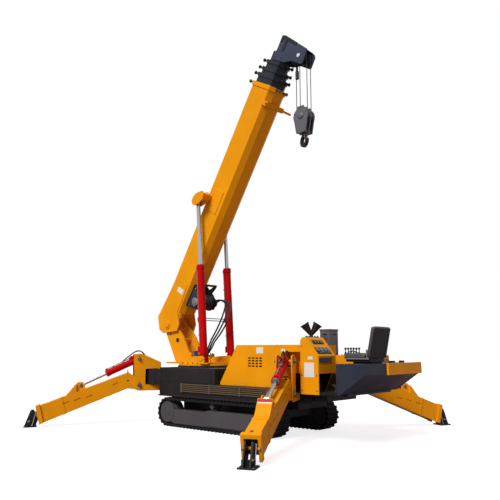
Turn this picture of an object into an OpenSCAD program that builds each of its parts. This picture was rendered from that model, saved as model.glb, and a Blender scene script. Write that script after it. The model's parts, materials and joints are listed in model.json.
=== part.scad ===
// Compact crawler crane with four swivelling outriggers, as it stands parked.
// X runs from the boom foot end (-) to the seat end (+), Y across, Z up from the ground.

/* [Tracks] */
// Length of a track loop over its lugs
track_len = 3150; // [2600:10:3600]
// Width of a track belt
track_w = 350; // [250:10:450]
// Height of a track loop over its lugs
track_h = 560; // [450:10:650]
// Half the width over both tracks
track_out = 920; // [800:5:1050]
// Height of a lug
lug_h = 22; // [12:1:35]
// Number of lugs on a loop
lug_n = 70; // [40:1:90]
// Thickness of the belt under its lugs
belt_t = 34; // [20:1:50]

/* [Chassis] */
// Centre of the tracks from the middle of the crane
track_x = 60; // [-100:5:200]
// Half width of the turret box and sills
sill_y = 830; // [700:5:900]
// Top of the turret box
turret_top = 1140; // [1000:5:1250]
// Height of the deck under the hood
deck_z = 842; // [760:2:900]
// Position of the front king pins, along
front_pin_x = -1900; // [-2100:5:-1700]
// Position of the front king pins, across
front_pin_y = 700; // [600:5:800]
// Position of the rear king pins, along
rear_pin_x = 1750; // [1650:5:1850]
// Position of the rear king pins, across
rear_pin_y = 720; // [600:5:800]
// Radius of a king pin
king_r = 45; // [30:1:60]

/* [Outriggers] */
// Angle of the front legs from the long axis
front_ang = 60; // [40:1:85]
// Angle of the rear legs from the long axis
rear_ang = 65; // [50:1:85]
// Width of a leg box
leg_w = 228; // [180:2:260]
// Distance of the leg hinge from the king pin
leg_pin_r = 345; // [300:1:400]
// Height of the leg hinge
leg_pin_z = 775; // [700:1:850]
// Distance of the lift cylinder pin from the king pin
lift_pin_r = 358; // [320:1:400]
// Height of the lift cylinder pin
lift_pin_z = 1308; // [1200:1:1400]
// Distance of the lift rod eye from the king pin
lift_eye_r = 1504; // [1300:1:1700]
// Height of the lift rod eye
lift_eye_z = 783; // [700:1:900]
// Radius of a lift barrel
lift_r = 70; // [45:1:80]
// Radius of a lift rod
lift_rod_r = 32; // [20:1:42]
// Distance of the foot centre from the king pin
foot_r = 2430; // [2300:5:2700]
// Side of a foot plate
foot_side = 240; // [200:5:360]
// Gap under the foot plates
foot_gap = 4; // [2:1:8]

/* [Turntable] */
// Position of the slew axis
slew_x = -1030; // [-1200:5:-850]
// Radius of the slew ring
ring_r = 620; // [500:5:700]
// Underside of the turntable plate
table_z = 1210; // [1180:2:1260]
// Half width of the turntable plate
table_y = 520; // [450:5:600]
// Position of the boom foot pin, along
boom_pin_x = -2060; // [-2200:5:-1900]
// Height of the boom foot pin
boom_pin_z = 2050; // [1900:5:2200]
// Radius of the boom foot pin
boom_pin_r = 60; // [40:1:80]

/* [Boom] */
// Angle of the boom as parked
boom_ang = 59.3; // [40:0.1:75]
// Width of the boom base
boom_w = 490; // [440:5:520]
// Top of the boom base over its pin line
boom_top = 345; // [300:5:390]
// Bottom of the boom base under its pin line
boom_bot = 255; // [220:5:280]
// Wall of the boom sections
boom_t = 10; // [6:1:16]
// Side step from one section to the next
boom_step = 26; // [20:1:28]
// End of the boom base
boom_end = 5600; // [5200:10:6000]
// End of section 2
end_2 = 5800; // [5700:5:5850]
// End of section 3
end_3 = 5940; // [5880:5:6000]
// End of section 4
end_4 = 6100; // [6040:5:6150]
// End of section 5
end_5 = 6300; // [6250:5:6350]
// Seat of a wear pad on the next section
pad_gap = 0.3; // [0.2:0.1:1]

/* [Luffing] */
// Position of the luffing cylinder pins, along
luff_pin_x = -720; // [-850:5:-600]
// Height of the luffing cylinder pins
luff_pin_z = 1312; // [1290:2:1360]
// Position of the luffing cylinders, across
luff_y = 400; // [360:5:460]
// Rod eye along the boom
luff_eye_s = 2802; // [2500:1:3100]
// Rod eye over the boom pin line
luff_eye_n = 394; // [350:1:450]
// Length of a luffing barrel
luff_len = 1950; // [1800:5:2000]
// Radius of a luffing barrel
luff_r = 78; // [60:1:95]
// Radius of a luffing rod
luff_rod_r = 43; // [30:1:55]

/* [Hoist] */
// Sheave radius in the head and the hook block
sheave_r = 130; // [100:1:150]
// Head sheave along the boom
head_s = 6330; // [6250:5:6400]
// Head sheave under the boom pin line
head_n = 505; // [450:5:650]
// Radius of the hoist rope
rope_r = 8; // [5:0.5:12]
// Side offset of the rope sheaves
fall_y = 60; // [45:1:75]
// Height of the hook block axle
block_z = 5985; // [5600:5:6200]
// Drum radius of the winch
drum_r = 130; // [100:1:160]
// Winch drum along the boom
winch_s = 860; // [750:5:950]
// Winch drum under the boom pin line
winch_n = 550; // [450:5:600]

/* [Body] */
// Half width of the hood
hood_y = 700; // [600:5:760]
// Top of the hood
hood_top = 1582; // [1450:2:1700]
// Lower front edge of the hood
hood_x0 = 50; // [0:5:150]
// Upper front edge of the hood
hood_x1 = 473; // [300:5:600]
// Rear edge of the wide hood
hood_x2 = 1560; // [1450:5:1570]
// Step of the hood under the cabinet
cab_z = 1400; // [1350:5:1450]
// Front of the console
cons_x = 2030; // [2020:5:2100]
// Rear of the console
cons_x2 = 2396; // [2300:2:2500]
// Outer side of the console
cons_y = 800; // [700:5:850]
// Height of the floor plate
floor_z = 812; // [780:2:840]
// Front of the tank
tank_x = 2812; // [2750:2:2900]
// Rear of the tank
tank_x2 = 3320; // [3200:5:3400]
// Top of the tank
tank_top = 1276; // [1150:2:1350]
// Middle of the seat, across
seat_y = -300; // [-400:5:0]

/* [Hidden] */
$fn = 48;
run = 0.3;
loop_r = track_h/2 - lug_h;
loop_s = track_len - track_h;
loop_p = 2*loop_s + 2*PI*loop_r;
frame_x = loop_s/2 - 5;
foot_pin_r = foot_r - 130;
leg_slope = -20;
track_in = track_out - track_w;
lift_ang = atan2(lift_eye_z - lift_pin_z, lift_eye_r - lift_pin_r);
lift_len = norm([lift_eye_r - lift_pin_r, lift_eye_z - lift_pin_z]);
luff_eye_x = boom_pin_x + luff_eye_s*cos(boom_ang) - luff_eye_n*sin(boom_ang);
luff_eye_z = boom_pin_z + luff_eye_s*sin(boom_ang) + luff_eye_n*cos(boom_ang);
luff_ang = atan2(luff_eye_z - luff_pin_z, luff_eye_x - luff_pin_x);
luff_dist = norm([luff_eye_x - luff_pin_x, luff_eye_z - luff_pin_z]);
head_x = boom_pin_x + head_s*cos(boom_ang) + head_n*sin(boom_ang);
head_z = boom_pin_z + head_s*sin(boom_ang) - head_n*cos(boom_ang);
yellow = [0.87, 0.55, 0.07];
dark = [0.10, 0.10, 0.11];
slate = [0.20, 0.23, 0.27];
grey = [0.55, 0.56, 0.57];
red = [0.62, 0.10, 0.07];
chrome = [0.75, 0.76, 0.78];
black = [0.05, 0.05, 0.05];

// Box between two corners
module box(x0, x1, y0, y1, z0, z1) {
  translate([x0, y0, z0]) cube([x1 - x0, y1 - y0, z1 - z0]);
}

// Outline in X and Z drawn out across Y
module slab(y0, y1) {
  translate([0, y1, 0]) rotate([90, 0, 0]) linear_extrude(y1 - y0) children();
}

// Round bar across Y
module pin_y(x, z, r, y0, y1) {
  translate([x, y1, z]) rotate([90, 0, 0]) cylinder(r = r, h = y1 - y0);
}

module both_y() {
  children();
  mirror([0, 1, 0]) children();
}

module at_boom() {
  translate([boom_pin_x, 0, boom_pin_z]) rotate([0, -boom_ang, 0]) children();
}

module at_fl() {
  translate([front_pin_x, -front_pin_y, 0]) rotate([0, 0, 180 + front_ang]) children();
}

module at_fr() {
  translate([front_pin_x, front_pin_y, 0]) rotate([0, 0, 180 - front_ang]) children();
}

module at_rl() {
  translate([rear_pin_x, -rear_pin_y, 0]) rotate([0, 0, -rear_ang]) children();
}

module at_rr() {
  translate([rear_pin_x, rear_pin_y, 0]) rotate([0, 0, rear_ang]) children();
}

// Arm of the chassis that carries one king pin, with a round post
module king_arm(len, post_r) {
  box(-len, 0, -140, 140, 790, 1100);
  box(-320, 0, -140, 140, 790, deck_z);
  translate([0, 0, 790]) cylinder(r = post_r, h = 310);
  translate([0, 0, 652]) cylinder(r = king_r, h = 598);
}

// Lashing lug with a bore across Y
module lash_lug(y) {
  difference() {
    slab(y - 15, y + 15) polygon([[-1580, 630], [-1650, 640], [-1690, 680], [-1690, 730],
      [-1650, 770], [-1580, 780]]);
    pin_y(-1635, 705, 22, y - 40, y + 40);
  }
}

module chassis_frame() color(dark) {
  difference() {
    union() {
      box(-1250, 1350, -450, 450, 300, 620);
      box(-1580, hood_x2, -sill_y, sill_y, 600, deck_z);
      box(-1580, 30, -sill_y, sill_y, 700, turret_top);
      box(hood_x2 - 20, cons_x, -500, 500, 600, deck_z);
      box(1500, 2320, -450, 450, 640, floor_z - 40);
      both_y() translate([front_pin_x, front_pin_y, 0]) rotate([0, 0, 180]) king_arm(360, 205);
      both_y() translate([rear_pin_x, rear_pin_y, 0]) rotate([0, 0, 90]) king_arm(rear_pin_y - 500, 140);
      box(-800, -560, -track_in - 80, track_in + 80, 190, 330);
      box(680, 920, -track_in - 80, track_in + 80, 190, 330);
      both_y() box(-1540, hood_x2, 440, 900, 576, 601);
      translate([slew_x, 0, turret_top - 10]) cylinder(r = ring_r, h = 40);
      translate([slew_x, 0, turret_top]) cylinder(r = 120, h = 66);
      lash_lug(-250);
      lash_lug(250);
    }
    box(-1000, -150, -380, 380, 260, 560);
    box(150, 1200, -380, 380, 260, 560);
  }
}

// Point of the loop at distance u along it, off outside it
function loop_pt(u, off) =
  u < loop_s ? [-loop_s/2 + u, loop_r + off] :
  u < loop_s + PI*loop_r ?
    let (a = 90 - (u - loop_s)/loop_r*180/PI)
    [loop_s/2 + (loop_r + off)*cos(a), (loop_r + off)*sin(a)] :
  u < 2*loop_s + PI*loop_r ? [loop_s/2 - (u - loop_s - PI*loop_r), -loop_r - off] :
    let (a = 270 - (u - 2*loop_s - PI*loop_r)/loop_r*180/PI)
    [-loop_s/2 + (loop_r + off)*cos(a), (loop_r + off)*sin(a)];

// Toothed outline of a belt, with its lugs moved on by a share of the pitch
module belt_2d(share) {
  p = loop_p/lug_n;
  difference() {
    polygon([for (i = [0 : lug_n - 1]) each [
      loop_pt((i + share)*p, 0), loop_pt((i + share + 0.07)*p, lug_h),
      loop_pt((i + share + 0.43)*p, lug_h), loop_pt((i + share + 0.5)*p, 0)]]);
    square([loop_s, 2*(loop_r - belt_t)], center = true);
    translate([loop_s/2, 0]) circle(r = loop_r - belt_t);
    translate([-loop_s/2, 0]) circle(r = loop_r - belt_t);
  }
}

module track_belt() color(black) translate([track_x, 0, track_h/2]) {
  slab(-track_out, -track_out + track_w) belt_2d(0.1);
}

// Side frame of a track with its wheels and rollers
module track_frame() color(grey) translate([track_x, 0, 0]) {
  in_r = loop_r - belt_t;
  y0 = -track_out + 20;
  slab(y0, y0 + 250) polygon([[-frame_x, 210], [-frame_x + 70, 105], [-frame_x + 200, 68],
    [frame_x - 200, 68], [frame_x - 70, 105], [frame_x, 210], [frame_x, 330],
    [frame_x - 110, 365], [-180, 365], [-230, 330], [-frame_x, 330]]);
  for (x = [-loop_s/2, loop_s/2]) {
    pin_y(x, track_h/2, in_r, y0 + 60, y0 + 245);
    pin_y(x, track_h/2, in_r - 22, y0 - 6, y0 + 80);
  }
  pin_y(-60, track_h/2 + in_r - 52, 52, y0 + 30, y0 + 230);
  box(-100, -20, y0 + 60, y0 + 200, 340, track_h/2 + in_r - 40);
  slab(y0 - 14, y0 + 10) polygon([[-190, 90], [frame_x - 190, 90], [frame_x - 150, 120],
    [frame_x - 150, 350], [-190, 350]]);
}

module side_pipes() color([0.45, 0.30, 0.12]) both_y() {
  for (z = [686 : 34 : 822]) translate([-900, -sill_y - 24, z]) rotate([0, 90, 0])
    cylinder(r = 12, h = 2300);
  for (x = [-880, -100, 680, 1330]) box(x, x + 44, -sill_y - 40, -sill_y, 668, 840);
}

module hood_2d() {
  polygon([[hood_x0, deck_z], [hood_x0, deck_z + 40], [hood_x1, hood_top], [hood_x2, hood_top],
    [hood_x2, deck_z]]);
}

module hood() color(yellow) difference() {
  union() {
    slab(-hood_y, hood_y) hood_2d();
    box(hood_x2 - 1, cons_x, -500, 500, deck_z, cab_z);
    box(hood_x2 - 1, cons_x, -500, 270, cab_z - 1, hood_top);
    box(hood_x2 - 1, cons_x, -hood_y, 0, 1462, hood_top);
  }
  slab(-hood_y + 14, hood_y - 14) polygon([[hood_x0 + 120, deck_z - 1],
    [hood_x1 + 20, hood_top - 14], [hood_x2 - 14, hood_top - 14], [hood_x2 - 14, deck_z - 1]]);
  for (i = [0 : 3]) for (j = [0 : 3]) both_y()
    box(760 + i*90, 824 + i*90, -hood_y - 1, -hood_y + 30, 1190 + j*48, 1216 + j*48);
}

module engine_block() color(dark) box(620, 1500, -480, 480, deck_z, 1420);

module console() color(yellow) difference() {
  union() {
    slab(-cons_y, -300) polygon([[cons_x, 1110], [cons_x, 1640], [cons_x + 40, 1706],
      [cons_x + 120, 1706], [cons_x2, 1400], [cons_x2, 1110]]);
    slab(-cons_y, -cons_y + 20) polygon([[cons_x, floor_z - 38], [cons_x2, floor_z - 38], [cons_x2, 1200],
      [cons_x, 1200]]);
    slab(-320, -300) polygon([[cons_x, floor_z], [cons_x + 160, floor_z], [cons_x2 - 60, 1120],
      [cons_x, 1120]]);
  }
  for (i = [0 : 3]) box(cons_x2 - 12, cons_x2 + 5, -cons_y + 60, -380, 1255 + i*34, 1270 + i*34);
}

module floor_plate() color(dark) {
  box(cons_x, tank_x, -cons_y + 20, cons_y - 20, floor_z - 40, floor_z);
  box(tank_x - 120, tank_x + 60, -700, 700, floor_z - 40, floor_z - 10);
  box(cons_x, cons_x + 150, -cons_y + 20, -320, floor_z - 1, 1110);
}

module tank() color(slate) difference() {
  slab(-track_out, track_out) polygon([[tank_x, floor_z - 10], [tank_x, tank_top],
    [tank_x2, tank_top], [tank_x2, 1110], [tank_x + 60, floor_z - 10]]);
  box(tank_x + 160, tank_x + 280, 520, 640, tank_top - 8, tank_top + 5);
}

module rear_box() color(yellow) box(tank_x2, tank_x2 + 38, -235, track_out, 1100, tank_top + 12);

module lever_deck() color(yellow) box(cons_x, tank_x, 250, cons_y - 20, floor_z, 1400);

module levers() color(black) for (i = [0 : 5]) {
  translate([2070 + i*58, 530, 1400]) cylinder(r = 26, h = 24);
  translate([2070 + i*58, 530, 1400]) cylinder(r = 9, h = 120);
  translate([2070 + i*58, 530, 1516]) sphere(r = 22);
}

module cabinet() color(grey) {
  box(1672, 1900, 296, 548, cab_z, 1852);
  box(1664, 1908, 288, 556, 1846, 1868);
}

// One flared lamp housing on the common post
module lamp() {
  rotate([0, 32, 0]) {
    translate([0, 0, -20]) cylinder(r1 = 36, r2 = 78, h = 190);
    translate([0, 0, 165]) cylinder(r = 88, h = 22);
  }
}

module twin_lamps() color(black) translate([1735, -70, 0]) rotate([0, 0, 40]) {
  translate([0, 0, hood_top]) cylinder(r = 60, h = 18);
  translate([0, 0, hood_top]) cylinder(r = 34, h = 230);
  translate([22, 0, 1796]) lamp();
  translate([-22, 0, 1796]) rotate([0, 0, 180]) lamp();
}

module seat_base() color(black) {
  box(2850, 3180, seat_y - 170, seat_y + 170, tank_top, tank_top + 32);
  box(2740, 3200, seat_y - 210, seat_y + 210, tank_top + 30, tank_top + 72);
}

module seat_cushion() color(black) box(2710, 3110, seat_y - 240, seat_y + 240,
  tank_top + 72, tank_top + 190);

module seat_back() color(black) {
  slab(seat_y - 265, seat_y + 265) polygon([[3112, tank_top + 72], [3206, tank_top + 72],
    [3318, tank_top + 585], [3222, tank_top + 606], [3118, tank_top + 130]]);
}

// Tall plate that carries the boom foot pin
module cheek() {
  slab(-200, -160) {
    polygon([[-1820, table_z + 25], [-2130, 1803], [-2225, 2000], [-1915, 2130], [-1580, 1758],
      [-1410, 1455], [-1330, 1408], [-1300, table_z + 25]]);
    translate([boom_pin_x, boom_pin_z]) circle(r = 170);
  }
}

module turntable() color(yellow) {
  difference() {
    union() {
      translate([slew_x, 0, 1176]) cylinder(r = ring_r - 20, h = table_z - 1176 + 1);
      slab_top();
    }
    translate([slew_x, 0, 1100]) cylinder(r = 120 + run, h = 200);
  }
  both_y() cheek();
  pin_y(boom_pin_x, boom_pin_z, boom_pin_r, -boom_w/2 - 22, boom_w/2 + 22);
  pin_y(-1760, 1711, 45, -190, 190);
  box(-1800, -1330, -165, 165, table_z + 25, 1420);
  both_y() {
    for (y = [-500, -330]) slab(y, y + 30) {
      polygon([[-1300, table_z + 25], [-1180, 1345], [-770, 1370], [-680, 1370], [-630, 1340],
        [-610, table_z + 25]]);
    }
    pin_y(luff_pin_x, luff_pin_z, 36, -500, -300);
  }
}

// Plate of the turntable, drawn in plan
module slab_top() {
  translate([0, 0, table_z]) linear_extrude(30) polygon([[-1880, -320], [-1760, -table_y],
    [-640, -table_y], [-560, -440], [-560, 440], [-640, table_y], [-1760, table_y], [-1880, 320]]);
}

module filter_canister() color([0.10, 0.22, 0.45]) {
  translate([-1140, -245, table_z + 30]) cylinder(r = 46, h = 200);
  translate([-1140, -245, table_z + 226]) cylinder(r = 54, h = 40);
}

// Cross section of a boom section, k steps inside the base
module boom_2d(k, grow) {
  w = boom_w/2 - k*boom_step + grow;
  t = boom_top - k*boom_step + grow;
  b = -boom_bot + k*boom_step - grow;
  polygon([[-w, b + 80], [-w + 110, b], [w - 110, b], [w, b + 80], [w, t - 26], [w - 26, t],
    [-w + 26, t], [-w, t - 26]]);
}

// Length of the boom from s0 to s1 with children as its cross section
module boom_run(s0, s1) {
  translate([s0, 0, 0]) rotate([90, 0, 90]) linear_extrude(s1 - s0) children();
}

// Tube of a boom section with the collar at its outer end
module boom_tube(k, s0, s1, collar) {
  difference() {
    union() {
      boom_run(s0, s1) boom_2d(k, 0);
      boom_run(s1 - collar, s1) boom_2d(k, 16);
    }
    boom_run(s0 + 14, s1 - 40) boom_2d(k, -boom_t);
    boom_run(s1 - 41, s1 + 1) boom_2d(k + 1, pad_gap);
  }
}

module boom_base() color(yellow) at_boom() {
  boom_tube(0, 400, boom_end, 90);
  both_y() {
    difference() {
      slab(-boom_w/2 - 10, -boom_w/2 + 12) {
        polygon([[-17, 389], [-232, 189], [-232, 30], [36, -349], [190, -330], [414, -120],
          [621, -142], [1019, -112], [1019, 300], [640, 326]]);
      }
      pin_y(0, 0, boom_pin_r + run, -300, 0);
    }
    box(2716, 3208, -boom_w/2 - 12, -boom_w/2 + 1, -87, 200);
    for (y = [-340, -490]) slab(y - 15, y + 15) polygon([[2716, 330], [2702, 420], [2760, 484],
      [2850, 490], [2960, 440], [3070, 290], [3050, 200], [2920, 190], [2800, 250]]);
    box(2920, 3030, -504, -boom_w/2 + 5, 200, 310);
  }
  box(5190, 5290, -boom_w/2 - 16, boom_w/2 + 16, -boom_bot - 52, -boom_bot + 6);
  both_y() box(5190, 5290, -boom_w/2 - 16, -boom_w/2 + 4, -boom_bot - 52, -boom_bot + 110);
  pin_y(5240, -boom_bot - 30, 24, -320, 520);
}

// Winch that hangs under the boom base
module winch() color(dark) at_boom() {
  box(610, 1130, -200, 200, -boom_bot - 16, -boom_bot);
  for (y = [-190, 160]) slab(y, y + 30) polygon([[620, -boom_bot - 5], [680, -560], [780, -720], [940, -720],
    [1040, -560], [1120, -boom_bot - 5]]);
  pin_y(winch_s, -winch_n, drum_r, -165, 165);
  for (y = [-150, 130]) pin_y(winch_s, -winch_n, 176, y, y + 20);
  pin_y(winch_s, -winch_n, 100, -285, -185);
  pin_y(winch_s, -winch_n, 96, 185, 300);
  for (y = [-150, 130]) slab(y, y + 20) polygon([[990, -500], [1060, -390], [1286, -535], [1262, -580]]);
  pin_y(1262, -548, 24, -150, 150);
}

module boom_2() color(slate) at_boom() boom_tube(1, 450, end_2, 75);

module boom_3() color(slate) at_boom() boom_tube(2, 480, end_3, 70);

module boom_4() color(slate) at_boom() boom_tube(3, 510, end_4, 70);

module boom_5() color(slate) at_boom() difference() {
  boom_run(540, end_5) boom_2d(4, 0);
  boom_run(554, end_5 - 14) boom_2d(4, -boom_t);
}

module boom_head() color(slate) at_boom() {
  w5 = boom_w/2 - 4*boom_step;
  both_y() slab(-w5 - 18, -w5) polygon([[6125, 150], [6290, 150], [6330, 125], [6560, 125], [6636, 108],
    [6646, 40], [6560, -330], [6480, -620], [6430, -668], [6210, -680], [6186, -640], [6196, -380],
    [6125, -190]]);
  box(6330, 6600, -w5, w5, 106, 124);
  box(6180, 6330, -w5, w5, -330, -310);
  translate([6560, 0, -330]) rotate([0, 13, 0]) box(-18, -4, -w5, w5, -250, 340);
}

module head_sheaves() color(dark) at_boom() {
  w5 = boom_w/2 - 4*boom_step;
  pin_y(head_s, -head_n, 34, -w5, w5);
  for (y = [-fall_y, fall_y]) pin_y(head_s, -head_n, sheave_r - rope_r - 0.5, y - 20, y + 20);
  pin_y(6450, 0, 30, -w5, w5);
  pin_y(6450, 0, 100, -20, 20);
}

module at_luff(y) {
  translate([luff_pin_x, y, luff_pin_z]) rotate([0, -luff_ang, 0]) children();
}

// Barrel of a luffing cylinder, drawn along X from its pin
module luff_barrel() color(red) difference() {
  union() {
    translate([98, 0, 0]) rotate([0, 90, 0]) cylinder(r = luff_r, h = luff_len - 98);
    translate([luff_len - 90, 0, 0]) rotate([0, 90, 0]) cylinder(r = luff_r + 8, h = 90);
    pin_y(0, 0, 68, -60, 60);
    box(0, 110, -60, 60, -60, 60);
  }
  pin_y(0, 0, 36 + run, -100, 100);
  translate([96, 0, 0]) rotate([0, 90, 0]) cylinder(r = luff_rod_r + run, h = luff_len);
}

// Rod of a luffing cylinder, drawn along X from the barrel pin
module luff_rod() color(chrome) difference() {
  union() {
    translate([1378, 0, 0]) rotate([0, 90, 0]) cylinder(r = luff_rod_r, h = luff_dist - 1378);
    pin_y(luff_dist, 0, 68, -42, 42);
  }
  pin_y(luff_dist, 0, 36, -60, 60);
}

module rope_falls() color(dark) {
  for (x = [head_x - sheave_r, head_x + sheave_r]) for (y = [-fall_y, fall_y])
    translate([x, y, block_z]) cylinder(r = rope_r, h = head_z - block_z);
}

module rope_socket() color(black) {
  y = -fall_y + rope_r;
  box(head_x - sheave_r - 30, head_x - sheave_r + 30, y, y + 44, head_z - 420, head_z - 250);
  translate([head_x - sheave_r, y + 22, head_z - 255]) cylinder(r = 20, h = 120);
}

module hook_block() color(grey) translate([head_x, 0, block_z]) {
  difference() {
    both_y() for (y = [-118, -12]) slab(y, y + 24) {
      circle(r = 175);
      polygon([[-172, 0], [172, 0], [110, -340], [-110, -340]]);
      polygon([[-120, 100], [120, 100], [70, 205], [-70, 205]]);
    }
    translate([0, 0, -365]) cylinder(r = 40 + run, h = 130);
  }
  pin_y(0, 0, 36, -140, 140);
  for (y = [-fall_y, fall_y]) pin_y(0, 0, sheave_r - rope_r - 0.5, y - 22, y + 22);
  difference() {
    box(-90, 90, -117, 117, -340, -262);
    translate([0, 0, -365]) cylinder(r = 40 + run, h = 130);
  }
}

module hook() color(black) translate([head_x, 0, block_z - 480]) rotate([0, 0, -24]) {
  translate([0, 0, 120]) cylinder(r = 40, h = 118);
  translate([0, 0, 60]) cylinder(r = 52, h = 78);
  slab(-28, 28) difference() {
    union() {
      circle(r = 128);
      polygon([[-60, 40], [60, 40], [52, 100], [-52, 100]]);
    }
    circle(r = 66);
    polygon([[0, 0], [260, 30], [180, 190], [60, 116]]);
  }
}

// Swivel bracket of a leg, drawn out along X from its king pin
module bracket() color(yellow) {
  h = leg_w/2 + 6;
  difference() {
    union() {
      both_y() slab(-h - 22, -h) polygon([[-100, 660], [380, 660], [450, 720], [450, 1050],
        [470, 1250], [460, 1400], [310, 1415], [250, 1390], [-100, 1240], [-100, 1110], [222, 1110],
        [222, 780], [-100, 780]]);
      box(-100, 245, -h - 1, h + 1, 1110, 1200);
      box(-100, 245, -h - 1, h + 1, 690, 780);
      box(220, 245, -h - 1, h + 1, 690, 1200);
    }
    translate([0, 0, 600]) cylinder(r = king_r + run, h = 700);
  }
  pin_y(leg_pin_r, leg_pin_z, 35, -h - 34, h + 34);
  pin_y(lift_pin_r, lift_pin_z, 28, -h - 30, h + 30);
}

// Slot along a leg's side, at its place out from the king pin and its height
module leg_slot(r, z, len) {
  translate([r, z]) rotate(leg_slope) {
    square([len, 28], center = true);
    for (x = [-len/2, len/2]) translate([x, 0]) circle(r = 14, $fn = 16);
  }
}

// Leg box with its rod ears and open outer end
module leg() color(yellow) {
  h = leg_w/2;
  fx = foot_pin_r;
  difference() {
    union() {
      slab(-h, h) {
        translate([leg_pin_r, leg_pin_z]) circle(r = 94);
        polygon([[leg_pin_r - 40, leg_pin_z + 84], [560, 1030], [fx + 40, 384], [fx - 46, 59], [580, 706],
          [leg_pin_r + 10, leg_pin_z - 93]]);
      }
      slab(-h - 30, h + 30) polygon([[fx - 24, 428], [fx + 52, 400], [fx - 38, 52], [fx - 114, 80]]);
      slab(-h - 7, h + 7) polygon([[fx - 440, 562], [fx - 400, 548], [fx - 487, 222], [fx - 527, 238]]);
      slab(-h, h) polygon([[1590, 540], [1590, 806], [1606, 806], [1800, 570], [1800, 460]]);
      both_y() slab(-70, -50) polygon([[1400, 640], [1430, 800], [1470, 845], [1560, 845], [1606, 806],
        [1700, 480], [1450, 500]]);
    }
    pin_y(leg_pin_r, leg_pin_z, 35 + run, -300, 300);
    slab(-h + 16, h - 16) polygon([[fx - 400, 505], [fx + 100, 326], [fx + 100, -60], [fx - 400, 200]]);
    slab(-h + 16, h - 16) polygon([[fx - 300, 300], [fx + 100, 300], [fx + 100, -60], [fx - 300, -60]]);
    at_lift() translate([lift_len - 640, -48, -46]) cube([700, 96, 150]);
    both_y() slab(-h - 20, -h + 12) {
      leg_slot(830, 800, 90);
      leg_slot(1330, 566, 110);
      leg_slot(1560, 510, 110);
      leg_slot(1780, 452, 110);
    }
  }
  pin_y(fx, 225, 22, -h - 8, h + 8);
}

module at_lift() {
  translate([lift_pin_r, 0, lift_pin_z]) rotate([0, -lift_ang, 0]) children();
}

module lift_barrel() color(red) at_lift() difference() {
  union() {
    translate([40, 0, 0]) rotate([0, 90, 0]) cylinder(r = lift_r, h = 677);
    translate([650, 0, 0]) rotate([0, 90, 0]) cylinder(r = lift_r + 6, h = 67);
    pin_y(0, 0, 56, -60, 60);
  }
  pin_y(0, 0, 28 + run, -100, 100);
  translate([90, 0, 0]) rotate([0, 90, 0]) cylinder(r = lift_rod_r + run, h = 700);
}

module lift_rod() color(chrome) at_lift() difference() {
  union() {
    translate([580, 0, 0]) rotate([0, 90, 0]) cylinder(r = lift_rod_r, h = lift_len - 580);
    pin_y(lift_len, 0, 50, -42, 42);
  }
  pin_y(lift_len, 0, 25, -60, 60);
}

module foot() color(black) {
  fx = foot_pin_r;
  difference() {
    union() {
      box(foot_r - foot_side/2, foot_r + foot_side/2, -foot_side/2, foot_side/2, foot_gap, foot_gap + 20);
      both_y() slab(-60, -40) {
        translate([fx, 225]) circle(r = 46);
        polygon([[fx - 38, 205], [fx + 30, 22], [fx + 240, 22], [fx + 232, 50], [fx + 150, 290],
          [fx + 122, 330], [fx + 86, 326], [fx + 30, 262]]);
      }
      box(fx + 130, fx + 150, -95, 95, 22, 110);
    }
    pin_y(fx, 225, 22 + run, -300, 300);
  }
}

chassis_frame();
track_frame();  // track_frame_l
mirror([0, 1, 0]) track_frame();  // track_frame_r
track_belt();  // track_belt_l
mirror([0, 1, 0]) track_belt();  // track_belt_r
side_pipes();
hood();
engine_block();
console();
floor_plate();
tank();
rear_box();
lever_deck();
levers();
cabinet();
twin_lamps();
seat_base();
seat_cushion();
seat_back();
turntable();
filter_canister();
boom_base();
winch();
boom_2();
boom_3();
boom_4();
boom_5();
boom_head();
head_sheaves();
at_luff(-luff_y) luff_barrel();  // luff_barrel_l
at_luff(luff_y) luff_barrel();  // luff_barrel_r
at_luff(-luff_y) luff_rod();  // luff_rod_l
at_luff(luff_y) luff_rod();  // luff_rod_r
rope_falls();
rope_socket();
hook_block();
hook();
at_fl() bracket();  // bracket_fl
at_fl() leg();  // leg_fl
at_fl() lift_barrel();  // lift_barrel_fl
at_fl() lift_rod();  // lift_rod_fl
at_fl() foot();  // foot_fl
at_fr() bracket();  // bracket_fr
at_fr() leg();  // leg_fr
at_fr() lift_barrel();  // lift_barrel_fr
at_fr() lift_rod();  // lift_rod_fr
at_fr() foot();  // foot_fr
at_rl() bracket();  // bracket_rl
at_rl() leg();  // leg_rl
at_rl() lift_barrel();  // lift_barrel_rl
at_rl() lift_rod();  // lift_rod_rl
at_rl() foot();  // foot_rl
at_rr() bracket();  // bracket_rr
at_rr() leg();  // leg_rr
at_rr() lift_barrel();  // lift_barrel_rr
at_rr() lift_rod();  // lift_rod_rr
at_rr() foot();  // foot_rr
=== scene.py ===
"""Looks of the compact crawler crane: materials, soft parts, hoses, fittings, light and camera."""
import json
from math import cos, exp, pi, radians, sin

import bmesh
import bpy
from mathutils import Matrix, Vector


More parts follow.
